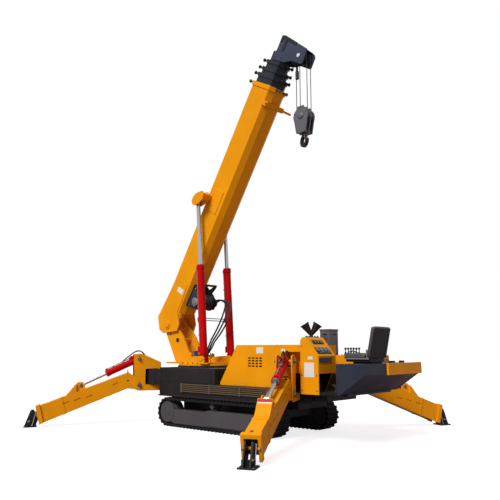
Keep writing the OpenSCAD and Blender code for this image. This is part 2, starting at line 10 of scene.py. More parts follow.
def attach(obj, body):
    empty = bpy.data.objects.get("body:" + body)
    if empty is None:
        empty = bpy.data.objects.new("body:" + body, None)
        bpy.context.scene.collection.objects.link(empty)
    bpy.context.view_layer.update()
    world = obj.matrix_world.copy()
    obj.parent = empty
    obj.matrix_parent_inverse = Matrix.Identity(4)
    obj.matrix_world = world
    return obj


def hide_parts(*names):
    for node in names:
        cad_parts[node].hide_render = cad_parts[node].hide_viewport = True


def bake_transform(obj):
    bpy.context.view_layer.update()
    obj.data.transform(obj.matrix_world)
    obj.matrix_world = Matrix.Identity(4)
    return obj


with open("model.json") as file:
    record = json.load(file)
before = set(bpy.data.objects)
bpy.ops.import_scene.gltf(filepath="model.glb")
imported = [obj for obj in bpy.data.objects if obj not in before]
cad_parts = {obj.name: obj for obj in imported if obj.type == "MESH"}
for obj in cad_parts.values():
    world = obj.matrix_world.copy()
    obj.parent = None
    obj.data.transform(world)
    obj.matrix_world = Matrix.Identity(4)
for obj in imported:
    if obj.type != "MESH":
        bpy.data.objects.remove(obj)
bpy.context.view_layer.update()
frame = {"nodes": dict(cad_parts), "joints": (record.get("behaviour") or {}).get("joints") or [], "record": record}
NODES = frame["nodes"]
JOINTS = {j["name"]: j for j in frame["joints"]}
X, Y, UP = Vector((1, 0, 0)), Vector((0, 1, 0)), Vector((0, 0, 1))
NEAR = -Y  # out of the side that the photograph shows

# Camera solved from the photograph, a square frame of 500 pixels
CAM_PLACE = (7.96, -8.67, 1.5)
CAM_HEADING_DEG = 41.9
CAM_PITCH_DEG = 9.8
CAM_LENS_MM = 41.5
SENSOR_MM = 36.0

# Stage: the floor and the surroundings look white and light the crane dimly; one broad lamp is the key
FLOOR_HALF_SIDE = 60.0
FLOOR_COLOUR = (0.4, 0.33, 0.35, 1)
FLOOR_GLOW = 0.8
SKY_COLOUR = (1.0, 0.8, 0.87, 1)
SKY_STRENGTH = 0.26
WHITE = (1, 1, 1, 1)
KEY_TOWARDS = (0.09, -0.69, 0.72)
KEY_STRENGTH = 3.22
KEY_SPREAD_DEG = 26.0

# Paint colours, as linear values
YELLOW = (0.8, 0.315, 0.003)
DARK = (0.008, 0.008, 0.0095)
SLATE = (0.021, 0.027, 0.046)
GREY = (0.1, 0.1, 0.115)
RED = (0.5, 0.004, 0.005)
BLACK = (0.01, 0.01, 0.011)

# Scales of the finishes' noises, per metre, and the radius that edges are shaded to
DRIFT_SCALE, DIRT_SCALE, CHIP_SCALE = 1.7, 2.6, 30.0
COLOUR_DRIFT = 0.08
EDGE_RADIUS = 0.006


# Materials
def set_inputs(tree, node, inputs):
    """Each named input takes a value or, from a socket, a link."""
    for key, value in inputs.items():
        if isinstance(value, bpy.types.NodeSocket):
            tree.links.new(value, node.inputs[key])
        else:
            node.inputs[key].default_value = value


def add_node(tree, kind, inputs, **settings):
    """New shader node with its settings and inputs; returns its outputs."""
    node = tree.nodes.new("ShaderNode" + kind)
    for key, value in settings.items():
        setattr(node, key, value)
    set_inputs(tree, node, inputs)
    return node.outputs


def new_material(name):
    """An empty node material with its shader and output joined; returns (material, tree, shader)."""
    mat = bpy.data.materials.new(name)
    mat.use_nodes = True
    tree = mat.node_tree
    tree.nodes.clear()
    bsdf = tree.nodes.new("ShaderNodeBsdfPrincipled")
    add_node(tree, "OutputMaterial", {"Surface": bsdf.outputs["BSDF"]})
    return mat, tree, bsdf


def scaled(colour, k):
    return tuple(min(1.0, c * k) for c in colour)


def coated(name, colour, rough=0.42, wear=(0.1, 0.09, 0.08), wear_amount=0.5, grain=220.0, bump=0.1,
           metallic=0.0, coat=0.0, gloss=0.3, dust=(0.3, 0.24, 0.16), dust_amount=0.08):
    """Painted or coated metal: slight colour drift, orange-peel bump, worn edges and thin dust in patches."""
    mat, tree, bsdf = new_material(name)
    coord = add_node(tree, "TexCoord", {})["Object"]

    def noise(scale, detail):
        return add_node(tree, "TexNoise", {"Vector": coord, "Scale": scale, "Detail": detail})["Fac"]

    def ramp(value, *stops):
        """Colours over a value between two stops of (place, colour or grey)."""
        node = tree.nodes.new("ShaderNodeValToRGB")
        for element, (place, tone) in zip(node.color_ramp.elements, stops):
            element.position = place
            element.color = (*(tone if isinstance(tone, tuple) else (tone,) * 3), 1.0)
        set_inputs(tree, node, {"Fac": value})
        return node.outputs["Color"]

    def mix(factor, a, b):
        """Colour socket a changed to colour b by a factor; 0, 6 and 7 are the node's sockets for colours."""
        return add_node(tree, "Mix", {0: factor, 6: a, 7: (*b, 1.0)}, data_type="RGBA")[2]

    base = ramp(noise(DRIFT_SCALE, 5.0), (0.3, scaled(colour, 1 - COLOUR_DRIFT)),
                (0.7, scaled(colour, 1 + COLOUR_DRIFT)))
    dirt = noise(DIRT_SCALE, 9.0)
    dusty = mix(ramp(dirt, (0.5, 0.0), (0.78, dust_amount)), base, dust)
    rounded = add_node(tree, "Bevel", {"Radius": EDGE_RADIUS}, samples=4)["Normal"]
    flat = add_node(tree, "NewGeometry", {})["Normal"]
    bend = add_node(tree, "VectorMath", {0: rounded, 1: flat}, operation="DOT_PRODUCT")["Value"]
    edge = ramp(bend, (0.86, 1.0), (0.97, 0.0))
    chips = ramp(noise(CHIP_SCALE, 6.0), (0.5, 0.0), (0.6, wear_amount))
    worn = add_node(tree, "Math", {0: edge, 1: chips}, operation="MULTIPLY")["Value"]
    peel = add_node(tree, "Bump", {"Strength": bump, "Distance": 0.002, "Height": noise(grain, 2.0),
                                   "Normal": rounded})["Normal"]
    set_inputs(tree, bsdf, {
        "Base Color": mix(worn, dusty, wear), "Normal": peel, "Metallic": metallic,
        "Roughness": ramp(dirt, (0.3, rough * 0.88), (0.8, min(1.0, rough * 1.35))),
        "Coat Weight": coat, "Coat Roughness": 0.12, "Specular IOR Level": gloss})
    return mat


FINISHES = {
    "yellow_paint": dict(colour=YELLOW, gloss=0.07, wear=(0.2, 0.1, 0.02), dust_amount=0.04),
    "dark_paint": dict(colour=DARK, rough=0.46, gloss=0.22, dust_amount=0.03),
    "slate_paint": dict(colour=SLATE, gloss=0.16, dust_amount=0.03),
    "head_slate": dict(colour=scaled(SLATE, 1.7), gloss=0.16, dust_amount=0.03),
    "boom_slate": dict(colour=scaled(SLATE, 0.65), gloss=0.16, dust_amount=0.03),
    "grey_steel": dict(colour=GREY, rough=0.45, metallic=0.3, grain=90.0, dust_amount=0.1),
    "red_paint": dict(colour=RED, rough=0.36, gloss=0.05, dust_amount=0.0),
    "chrome_rod": dict(colour=(0.36, 0.37, 0.4), rough=0.26, metallic=1.0, bump=0.0, wear_amount=0.0,
                       dust_amount=0.04),
    "track_rubber": dict(colour=(0.008, 0.0075, 0.0075), rough=0.75, grain=120.0, bump=0.4, gloss=0.15,
                         dust=(0.05, 0.042, 0.035), dust_amount=0.25, wear_amount=0.1),
    "pipe_metal": dict(colour=(0.11, 0.075, 0.045), rough=0.38, metallic=0.4, dust_amount=0.06),
    "seat_vinyl": dict(colour=(0.036, 0.032, 0.035), rough=0.34, grain=420.0, bump=0.3, coat=0.3,
                       dust_amount=0.03, wear_amount=0.0),
    "black_plastic": dict(colour=BLACK, rough=0.52, grain=380.0, bump=0.25, gloss=0.2, dust_amount=0.015,
                          wear_amount=0.15),
    "rope_steel": dict(colour=(0.035, 0.035, 0.038), rough=0.5, metallic=0.5, dust_amount=0.1),
    "blue_can": dict(colour=(0.012, 0.06, 0.26), rough=0.32, coat=0.2),
    "hose_rubber": dict(colour=BLACK, rough=0.48, grain=300.0, dust_amount=0.06),
    "bolt_steel": dict(colour=(0.2, 0.2, 0.21), rough=0.4, metallic=0.8, dust_amount=0.15),
    "frame_grey": dict(colour=(0.064, 0.059, 0.065), rough=0.6, gloss=0.15, dust_amount=0.04),
    "plate_white": dict(colour=(0.72, 0.72, 0.7), rough=0.45, wear_amount=0.2),
    "tape_red": dict(colour=(0.5, 0.012, 0.01), rough=0.3, grain=600.0, bump=0.2, dust_amount=0.05),
    "tape_white": dict(colour=(0.7, 0.7, 0.7), rough=0.3, grain=600.0, bump=0.2),
    "lens_glass": dict(colour=(0.45, 0.47, 0.5), rough=0.12, metallic=0.6, grain=60.0, bump=0.6, coat=0.6,
                       wear_amount=0.0),
    "screen_glass": dict(colour=(0.01, 0.012, 0.02), rough=0.1, coat=0.8, wear_amount=0.0,
                         dust_amount=0.05),
}
MATS = {name: coated(name, **finish) for name, finish in FINISHES.items()}

# Nodes whose tone differs from that of their slot
TONES = {"boom_head": "head_slate", "boom_2": "boom_slate", "boom_3": "boom_slate", "boom_4": "boom_slate"}


def dress_nodes():
    """Every CAD node takes the procedural material of its record slot, or its own tone."""
    for sub in frame["record"]["subparts"]:
        mesh = NODES[sub["node"]].data
        mesh.materials.clear()
        mesh.materials.append(MATS[TONES.get(sub["node"], sub["material_slot"])])


# Stage
def link_new(name, data):
    """New object of the scene that holds the given data."""
    obj = bpy.data.objects.new(name, data)
    bpy.context.scene.collection.objects.link(obj)
    return obj


def make_camera():
    cam = bpy.data.cameras.new("camera")
    cam.sensor_width = SENSOR_MM
    cam.lens = CAM_LENS_MM
    obj = link_new("camera", cam)
    obj.location = CAM_PLACE
    obj.rotation_euler = (radians(90 + CAM_PITCH_DEG), 0, radians(CAM_HEADING_DEG))
    bpy.context.scene.camera = obj


def make_floor():
    """Floor that keeps the crane's shadow and looks white to the camera."""
    mesh = bpy.data.meshes.new("floor")
    side = FLOOR_HALF_SIDE
    mesh.from_pydata([(-side, -side, 0), (side, -side, 0), (side, side, 0), (-side, side, 0)], [], [(0, 1, 2, 3)])
    mat, tree, bsdf = new_material("floor")
    seen = add_node(tree, "LightPath", {})["Is Camera Ray"]
    glow = add_node(tree, "Math", {0: seen, 1: FLOOR_GLOW}, operation="MULTIPLY")["Value"]
    set_inputs(tree, bsdf, {"Base Color": FLOOR_COLOUR, "Roughness": 0.9, "Emission Color": WHITE,
                            "Emission Strength": glow})
    mesh.materials.append(mat)
    link_new("floor", mesh)


def make_light():
    """Dim even surroundings that look white, and one broad soft key from the camera's left."""
    world = bpy.data.worlds.new("studio")
    bpy.context.scene.world = world
    world.use_nodes = True
    tree = world.node_tree
    tree.nodes.clear()
    lit = add_node(tree, "Background", {"Color": SKY_COLOUR, "Strength": SKY_STRENGTH})["Background"]
    white = add_node(tree, "Background", {"Color": WHITE})["Background"]
    rays = add_node(tree, "LightPath", {})
    seen = rays["Is Camera Ray"]
    for other in ("Is Glossy Ray", "Is Transmission Ray"):
        seen = add_node(tree, "Math", {0: seen, 1: rays[other]}, operation="ADD", use_clamp=True)["Value"]
    sky = add_node(tree, "MixShader", {0: seen, 1: lit, 2: white})["Shader"]
    add_node(tree, "OutputWorld", {"Surface": sky})
    lamp = bpy.data.lights.new("key", "SUN")
    lamp.energy = KEY_STRENGTH
    lamp.angle = radians(KEY_SPREAD_DEG)
    link_new("key", lamp).rotation_euler = (-Vector(KEY_TOWARDS)).to_track_quat("-Z", "Y").to_euler()


# Shapes
def place_mesh(name, bm, body, material, smooth=False):
    """Turns a bmesh in the crane's frame into a piece that rides on a body, or on none where the body is None."""
    bmesh.ops.recalc_face_normals(bm, faces=bm.faces)
    mesh = bpy.data.meshes.new(name)
    bm.to_mesh(mesh)
    bm.free()
    if smooth:
        mesh.shade_smooth()
    mesh.materials.append(MATS[material])
    obj = link_new(name, mesh)
    if body:
        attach(obj, body)
    return obj


def frame_of(x, y, z, place):
    """Frame with the given directions and place."""
    m = Matrix((x, y, z)).transposed().to_4x4()
    m.translation = place
    return m


def facing(place, normal, up=UP):
    """Frame on a surface: X to the right, Y up, Z along the normal."""
    n = Vector(normal).normalized()
    right = Vector(up).cross(n).normalized()
    return frame_of(right, n.cross(right), n, place)


def turned(place, angle, axis="Z"):
    """Frame at a place, turned about one of its axes."""
    return Matrix.Translation(place) @ Matrix.Rotation(angle, 4, axis)


def close_tube(bm, rings):
    """Faces between one ring of points and the next, and one over each end."""
    count = len(rings[0])
    for low, high in zip(rings, rings[1:]):
        for i in range(count):
            j = (i + 1) % count
            bm.faces.new((low[i], low[j], high[j], high[i]))
    bm.faces.new(rings[0][::-1])
    bm.faces.new(rings[-1])


def add_lathe(bm, place, axis, profile, steps=24):
    """Closed turned form: profile is (height, radius) from end to end along the axis."""
    turn = Vector(axis).to_track_quat("Z", "Y").to_matrix().to_4x4()
    move = Matrix.Translation(Vector(place)) @ turn
    angles = [2 * pi * i / steps for i in range(steps)]
    close_tube(bm, [[bm.verts.new(move @ Vector((radius * cos(a), radius * sin(a), height)))
                     for a in angles] for height, radius in profile])


def rod(radius, length):
    """Profile of a plain rod."""
    return [(0, radius), (length, radius)]


def cap(radius, height, rim, top):
    """Profile of a round cap that narrows from its shoulder's height to a rim at its top."""
    return [(0, radius), (height, radius), (top, rim)]


def add_bolt(bm, place, axis, r):
    """Hexagon bolt head on a washer, standing on a surface."""
    add_lathe(bm, place, axis, [(-0.3 * r, 1.5 * r), (0.18 * r, 1.5 * r), (0.24 * r, 1.4 * r)], 20)
    base = Vector(place) + Vector(axis).normalized() * 0.2 * r
    add_lathe(bm, base, axis, cap(1.12 * r, 0.55 * r, 0.92 * r, 0.72 * r), 6)


def add_bolt_circle(bm, centre, axis, plane, radius, count, r, start=0.0):
    """Bolts on a circle in the plane of two directions, from a starting angle."""
    for i in range(count):
        a = start + 2 * pi * i / count
        spoke = plane[0] * cos(a) + plane[1] * sin(a)
        add_bolt(bm, Vector(centre) + spoke * radius, axis, r)


def add_box(bm, lo, hi, bevel=0.0, move=None):
    """Box between two corners of the crane's frame or a given one, with its edges rounded by the bevel."""
    lo, hi = Vector(lo), Vector(hi)
    verts = bmesh.ops.create_cube(bm, size=1.0)["verts"]
    bmesh.ops.scale(bm, vec=hi - lo, verts=verts)
    bmesh.ops.translate(bm, vec=(lo + hi) / 2, verts=verts)
    if bevel:
        edges = list({e for v in verts for e in v.link_edges})
        out = bmesh.ops.bevel(bm, geom=edges, offset=bevel, segments=2, affect="EDGES", profile=0.6)
        verts = list({v for f in out["faces"] for v in f.verts} | {v for v in verts if v.is_valid})
    if move is not None:
        bmesh.ops.transform(bm, matrix=move, verts=verts)


def add_plate(bm, place, normal, width, height, thick, up=UP, bevel=0.002):
    """Thin plate with rounded edges that stands on a surface, sunk 1 mm into it."""
    add_box(bm, (-width / 2, -height / 2, -0.001), (width / 2, height / 2, thick), bevel,
            facing(place, normal, up))


def add_prism(bm, outline, y0, y1):
    """Flat plate: an outline of (x, z) points between two places across."""
    close_tube(bm, [[bm.verts.new((x, y, z)) for x, z in outline] for y in (y0, y1)])


def straight(a, b, cells):
    """Evenly spaced points from one place to another."""
    return [a.lerp(b, i / cells) for i in range(cells + 1)]


def smooth_line(points, count):
    """Evenly spaced points on a smooth line through the given ones."""
    pts = [Vector(p) for p in points]
    pts = [2 * pts[0] - pts[1]] + pts + [2 * pts[-1] - pts[-2]]
    dense, per_span = [], 24
    for a, b, c, d in zip(pts, pts[1:], pts[2:], pts[3:]):
        for i in range(per_span):
            t = i / per_span
            dense.append(0.5 * (2 * b + (c - a) * t + (2 * a - 5 * b + 4 * c - d) * t ** 2
                                + (3 * b - a - 3 * c + d) * t ** 3))
    dense.append(pts[-2])
    marks = [0.0]
    for a, b in zip(dense, dense[1:]):
        marks.append(marks[-1] + (b - a).length)
    line, k = [], 0
    for i in range(count):
        want = marks[-1] * i / (count - 1)
        while k < len(marks) - 2 and marks[k + 1] < want:
            k += 1
        part = (want - marks[k]) / max(1e-9, marks[k + 1] - marks[k])
        line.append(dense[k].lerp(dense[k + 1], part))
    return line


def sweep(bm, line, outline, twist=0.0):
    """Tube along a line; outline gives the radius at each angle, twist turns it per metre."""
    sides = len(outline)
    rings, up, run_on = [], Vector((0.3, 0.5, 0.81)), 0.0
    for i, p in enumerate(line):
        ahead = (line[min(i + 1, len(line) - 1)] - line[max(i - 1, 0)]).normalized()
        right = up.cross(ahead).normalized()
        up = ahead.cross(right)
        if i:
            run_on += (p - line[i - 1]).length
        ring = []
        for k, radius in enumerate(outline):
            a = 2 * pi * k / sides + twist * run_on
            ring.append(bm.verts.new(p + (right * cos(a) + up * sin(a)) * radius))
        rings.append(ring)
    close_tube(bm, rings)


# Places on the crane, in metres
BOOM_PIN = Vector(JOINTS["luff"]["pos_m"])
BOOM_DIR = Vector(JOINTS["telescope_2"]["axis"]).normalized()
BOOM_UP = Vector((-BOOM_DIR.z, 0, BOOM_DIR.x))
WINCH_S, WINCH_N = 0.86, -0.55  # the drum's axis, along the boom and over its pin line
HEAD = Vector(JOINTS["rope_hang"]["pos_m"])
HEAD_FACE = 0.159  # the head's side plates, across
TABLE_X = -1.03  # the slewing ring's centre
BLOCK_Z = 5.985  # the hook block's axle
FALL_X, FALL_Y, ROPE_R = 0.13, 0.06, 0.008
ROPE_LAY = 42.0  # turn of the strands, per metre
PIPE_OUTLINE = [0.009] * 12

# Pins of a leg: out from the king pin, and up
ROOT_PIN, LIFT_PIN = (0.345, 0.775), (0.358, 1.308)
FOOT_PIN, LOCK_PIN, EYE_PIN = (2.3, 0.225), (0.58, 0.87), (1.504, 0.783)
KING_TOP = 1.238
EAR_FACE = 0.142  # the bracket's ears, across


def boom_at(s, y, n):
    """Point of the boom: s along it from its pin, y across, n over its pin line."""
    return BOOM_PIN + BOOM_DIR * s + BOOM_UP * n + Vector((0, y, 0))


class LegFrame:
    """Directions of one outrigger leg: r out from its king pin, w across, z up."""

    def __init__(self, key):
        self.pin = Vector(JOINTS["leg_swivel_" + key]["pos_m"]) * Vector((1, 1, 0))
        self.across = Vector(JOINTS["leg_lift_" + key]["axis"])
        self.out = self.across.cross(UP).normalized()
        self.matrix = frame_of(self.out, self.across, UP, self.pin)

    def at(self, r, w, z):
        return self.pin + self.out * r + self.across * w + Vector((0, 0, z))


LEGS = {key: LegFrame(key) for key in ("fl", "fr", "rl", "rr")}


def lift_frame(leg):
    """Frame of a lift cylinder: X along it from its upper pin, Y across, Z up."""
    top, eye = (leg.at(r, 0, z) for r, z in (LIFT_PIN, EYE_PIN))
    along, across = (eye - top).normalized(), leg.across
    rise = along.cross(across)
    if rise.z < 0:
        across, rise = -across, -rise
    return frame_of(along, across, rise, top)


def luff_axes(tag):
    """A luffing cylinder's foot pin, its direction upwards, and the direction out of its back."""
    foot = Vector(JOINTS["luff_barrel_pivot_" + tag]["pos_m"])
    along = Vector(JOINTS["luff_rod_slide_" + tag]["axis"]).normalized()
    along = along if along.z > 0 else -along
    return foot, along, Vector((-along.z, 0, along.x))


# Hoses
def make_hose(name, points, radius, body, other):
    """Hose with crimped ends that leaves the machine and goes back into it; its end fittings ride on two bodies,
    the hose on none.
    """
    line = smooth_line(points, 40)
    bm = bmesh.new()
    sweep(bm, line, [radius] * 14)
    obj = place_mesh(name, bm, None, "hose_rubber", smooth=True)
    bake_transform(obj)
    for tag, a, b, carrier in (("a", line[0], line[1], body), ("b", line[-1], line[-2], other)):
        bm = bmesh.new()
        axis = (b - a).normalized()
        add_lathe(bm, a - axis * 0.004, axis, rod(radius * 1.5, radius * 0.9), 6)
        add_lathe(bm, a, axis, [(radius * 0.8, radius * 1.25), (radius * 3.0, radius * 1.25),
                                (radius * 3.2, radius * 1.06)], 16)
        place_mesh(name + "_fitting_" + tag, bm, carrier, "bolt_steel")


def winch_hoses():
    """Three hoses that hang in a loop from the winch motor to the swivel block of the table."""
    for i, y in enumerate((0.205, 0.245, 0.285)):
        drop, far = 0.03 * i, 0.055 * i - 0.055
        points = [boom_at(0.93, y, -0.62), boom_at(1.03, y, -0.74), (-0.7 + drop, y - 0.02, 2.47),
                  (-0.64 + drop, 0.11 + far, 2.22 - drop), (-0.76 + drop / 2, 0.06 + far, 1.93 - drop),
                  (-0.9, 0.03 + far, 1.7 - drop / 2), (-0.985, 0.01 + far, 1.52),
                  (-1.11, far, 1.395), (-1.23, far, 1.362), (-1.335, far, 1.36)]
        make_hose("winch_hose_%d" % i, points, 0.017, "boom", "slewing_table")


def leg_hoses():
    """Two hoses from each lift cylinder's valve block over the ear into the top plate of its bracket."""
    for key, leg in LEGS.items():
        for i, w in enumerate((-0.03, 0.03)):
            arch = 0.01 * i
            route = ((0.7, 0.7, 1.248), (0.592, 0.8, 1.338), (0.493, 1.0, 1.411 + arch),
                     (0.4, 1.0, 1.462 + arch), (0.31, 1.2, 1.462), (0.24, 1.6, 1.395),
                     (0.205, 2.0, 1.3), (0.195, 2.2, 1.198))
            make_hose("leg_hose_%s_%d" % (key, i), [leg.at(r, w * spread, z) for r, spread, z in route], 0.01,
                      "lift_barrel_body_" + key, "swivel_bracket_" + key)


# Pins and bolts
def leg_pin_caps():
    """Round caps and keeper bolts on the ends of the legs' pins."""
    for key, leg in LEGS.items():
        bm = bmesh.new()
        for (r, z), size in ((ROOT_PIN, 0.039), (LIFT_PIN, 0.032)):
            collar = size + 0.005
            for side in (-1, 1):
                face, axis = leg.at(r, side * EAR_FACE, z), leg.across * side
                add_lathe(bm, face, axis, [(0, collar), (0.008, collar), (0.012, size), (0.036, size),
                                           (0.041, size - 0.006)])
                add_bolt(bm, face + axis * 0.004 + UP * (size + 0.026), axis, 0.008)
        add_lathe(bm, leg.at(0, 0, KING_TOP), UP, [(0, 0.075), (0.014, 0.075), (0.018, 0.062), (0.024, 0.062)])
        add_bolt_circle(bm, leg.at(0, 0, KING_TOP + 0.025), UP, (leg.out, leg.across), 0.042, 4, 0.01,
                        pi / 4)
        place_mesh("pin_caps_" + key, bm, "swivel_bracket_" + key, "grey_steel")
        bm = bmesh.new()
        for (r, z), face, profile in ((FOOT_PIN, 0.121, cap(0.032, 0.006, 0.026, 0.01)),
                                      (LOCK_PIN, 0.1135, cap(0.022, 0.003, 0.016, 0.0045)),
                                      (EYE_PIN, 0.07, cap(0.034, 0.01, 0.027, 0.014))):
            for side in (-1, 1):
                add_lathe(bm, leg.at(r, side * face, z), leg.across * side, profile)
        place_mesh("leg_pins_" + key, bm, "outrigger_leg_" + key, "grey_steel")


def table_pin_caps():
    """Caps and bolts of the turntable's ears, at the boom's pin, the lower hole and the luffing pins; the lower
    hole's dark disc is painted shade.
    """
    painted, hole_shade_bolts = bmesh.new(), bmesh.new()
    luff = luff_axes("l")[0]
    for side in (-1, 1):
        axis = Y * side
        add_lathe(painted, BOOM_PIN + axis * 0.254, axis, [(0, 0.1), (0.01, 0.1), (0.014, 0.092),
                                                           (0.018, 0.066), (0.03, 0.066), (0.034, 0.058)], 40)
        add_bolt_circle(painted, BOOM_PIN + axis * 0.265, axis, (X, UP), 0.082, 6, 0.009)
        add_lathe(painted, (-1.764, side * 0.199, 1.708), axis, cap(0.06, 0.008, 0.05, 0.01), 32)
        # Dark disc inside the lower hole's yellow ring: painted shade of the hole.
        add_lathe(hole_shade_bolts, (-1.764, side * 0.206, 1.708), axis, cap(0.046, 0.006, 0.02, 0.006), 32)
        add_bolt(hole_shade_bolts, (-2.007, side * 0.199, 1.829), axis, 0.014)
        for x in (-1.226, -1.073, -0.922, -0.785):
            add_bolt(hole_shade_bolts, (x, side * 0.519, 1.226), axis, 0.012)
        add_lathe(painted, (luff.x, side * 0.499, luff.z), axis, cap(0.052, 0.01, 0.042, 0.014), 32)
        add_bolt(painted, (luff.x + 0.08, side * 0.499, luff.z), axis, 0.012)
    place_mesh("table_pin_caps", painted, "slewing_table", "yellow_paint")
    place_mesh("table_bolts_hole_shade", hole_shade_bolts, "slewing_table", "dark_paint")


def slew_bolts():
    """Bolt circle of the slewing ring, on the fixed ring below the table."""
    bm = bmesh.new()
    add_bolt_circle(bm, (TABLE_X, 0, 1.1695), UP, (X, Y), 0.612, 36, 0.006)
    place_mesh("slew_ring_bolts", bm, "chassis", "bolt_steel")


# Ropes
def rope_rig():
    """Laid wire rope: four falls, the arcs on the upper and lower sheaves, and the turns on the drum."""
    strands, sides = 6, 24
    outline = [ROPE_R * (0.86 + 0.14 * abs(cos(strands * pi * k / sides))) for k in range(sides)]
    bm = bmesh.new()
    for x in (-FALL_X, FALL_X):
        for y in (-FALL_Y, FALL_Y):
            top, end = (Vector((HEAD.x + x, y, z)) for z in (HEAD.z, BLOCK_Z))
            sweep(bm, straight(top, end, 110), outline, ROPE_LAY)
    falls = place_mesh("rope_strands", bm, None, "rope_steel", smooth=True)
    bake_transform(falls)
    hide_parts("rope_falls")
    half_turn = [pi * i / 36 for i in range(37)]
    for name, body, z, sign in (("rope_on_head", "rope_hanger", HEAD.z, 1),
                                ("rope_on_block", "block", BLOCK_Z, -1)):
        bm = bmesh.new()
        for y in (-FALL_Y, FALL_Y):
            sweep(bm, [Vector((HEAD.x + FALL_X * cos(a), y, z + sign * FALL_X * sin(a)))
                       for a in half_turn], outline, ROPE_LAY)
        place_mesh(name, bm, body, "rope_steel", smooth=True)
    bm = bmesh.new()
    full_turn = [2 * pi * k / 40 for k in range(41)]
    for layer, count in ((0.139, 15), (0.154, 14)):
        for i in range(count):
            y = (i - (count - 1) / 2) * 0.0172
            sweep(bm, [boom_at(WINCH_S + layer * cos(a), y + 0.017 * a / (2 * pi) - 0.0085,
                               WINCH_N + layer * sin(a)) for a in full_turn], [ROPE_R] * 8)
    place_mesh("drum_rope", bm, "boom", "rope_steel", smooth=True)


def rope_end_fittings():
    """Wedge socket bolts, and the sheave pin caps and bolts of the head."""
    bm = bmesh.new()
    for z in (-0.29, -0.34, -0.39):
        add_bolt(bm, (HEAD.x - FALL_X, -0.0525, HEAD.z + z), NEAR, 0.01)
    place_mesh("socket_bolts", bm, "rope_hanger", "bolt_steel")
    pins, bm = bmesh.new(), bmesh.new()
    for side in (-1, 1):
        axis = Y * side
        add_lathe(pins, boom_at(6.33, side * (HEAD_FACE - 0.001), -0.505), axis, cap(0.04, 0.01, 0.03, 0.015))
        for s, n in ((6.19, 0.1), (6.19, -0.08), (6.25, -0.62), (6.42, -0.62), (6.5, -0.47), (6.6, 0.05)):
            add_bolt(bm, boom_at(s, side * (HEAD_FACE - 0.0005), n), axis, 0.012)
    # The sheave pin caps take the white tape finish: a painted highlight on them.
    place_mesh("head_pins", pins, "boom_section_5", "tape_white")
    place_mesh("head_bolts", bm, "boom_section_5", "head_slate")


def hook_fittings():
    """Bolts and axle caps of the block, and the spring latch of the hook."""
    bm = bmesh.new()
    for side in (-1, 1):
        axis = Y * side
        add_lathe(bm, (HEAD.x, side * 0.117, BLOCK_Z), axis,
                  [(0, 0.062), (0.012, 0.062), (0.018, 0.052), (0.026, 0.034)])
        for x, z in ((-0.14, 0.07), (0.14, 0.07), (-0.14, -0.08), (0.14, -0.08), (-0.09, -0.31), (0.09, -0.31),
                     (0, 0.17)):
            add_bolt(bm, (HEAD.x + x, side * 0.1175, BLOCK_Z + z), axis, 0.012)
    place_mesh("block_bolts", bm, "block", "grey_steel")
    turn = turned((HEAD.x, 0, BLOCK_Z - 0.48), radians(-24))
    wire, ends = [0.006] * 8, []
    bm = bmesh.new()
    for y in (0.034, -0.034):
        bend = [(0.052, y, 0.11), (0.066, y, 0.06), (0.09, y, 0.022), (0.118, y, 0.006)]
        line = [turn @ p for p in smooth_line(bend, 16)]
        sweep(bm, line, wire)
        ends.append(line[-1])
    sweep(bm, ends[::-1], wire)
    add_lathe(bm, turn @ Vector((0.052, -0.042, 0.11)), turn.to_3x3() @ Y, rod(0.012, 0.084), 14)
    place_mesh("hook_latch", bm, "load_hook", "bolt_steel", smooth=True)


# Cylinders
def lift_cylinder_fittings():
    """Gland ring, valve block and return pipe of each leg's lift cylinder."""
    for key, leg in LEGS.items():
        m = lift_frame(leg)
        body = "lift_barrel_body_" + key
        along, across, rise = (m.to_3x3() @ d for d in (X, Y, UP))
        bm = bmesh.new()
        add_lathe(bm, m @ Vector((0.712, 0, 0)), along,
                  [(0, 0.064), (0.008, 0.064), (0.012, 0.058), (0.016, 0.04)], 40)
        add_bolt_circle(bm, m @ Vector((0.716, 0, 0)), along, (across, rise), 0.062, 8, 0.005, pi / 8)
        place_mesh("lift_gland_" + key, bm, body, "bolt_steel")
        bm = bmesh.new()
        add_box(bm, (0.07, -0.05, 0.058), (0.18, 0.05, 0.106), 0.006, m)
        add_box(bm, (0.66, -0.028, 0.066), (0.704, 0.028, 0.096), 0.005, m)
        for y in (-0.03, 0.03):
            add_lathe(bm, m @ Vector((0.125, y, 0.104)), rise, rod(0.016, 0.018), 6)
        place_mesh("lift_valve_" + key, bm, body, "red_paint")
        bm = bmesh.new()
        route = [(0.172, 0, 0.09), (0.24, 0, 0.086), (0.48, 0, 0.084), (0.67, 0, 0.084)]
        sweep(bm, [m @ p for p in smooth_line(route, 24)], PIPE_OUTLINE)
        for x in (0.3, 0.52):
            add_box(bm, (x, -0.018, 0.066), (x + 0.022, 0.018, 0.096), 0.003, m)
        place_mesh("lift_pipe_" + key, bm, body, "bolt_steel")


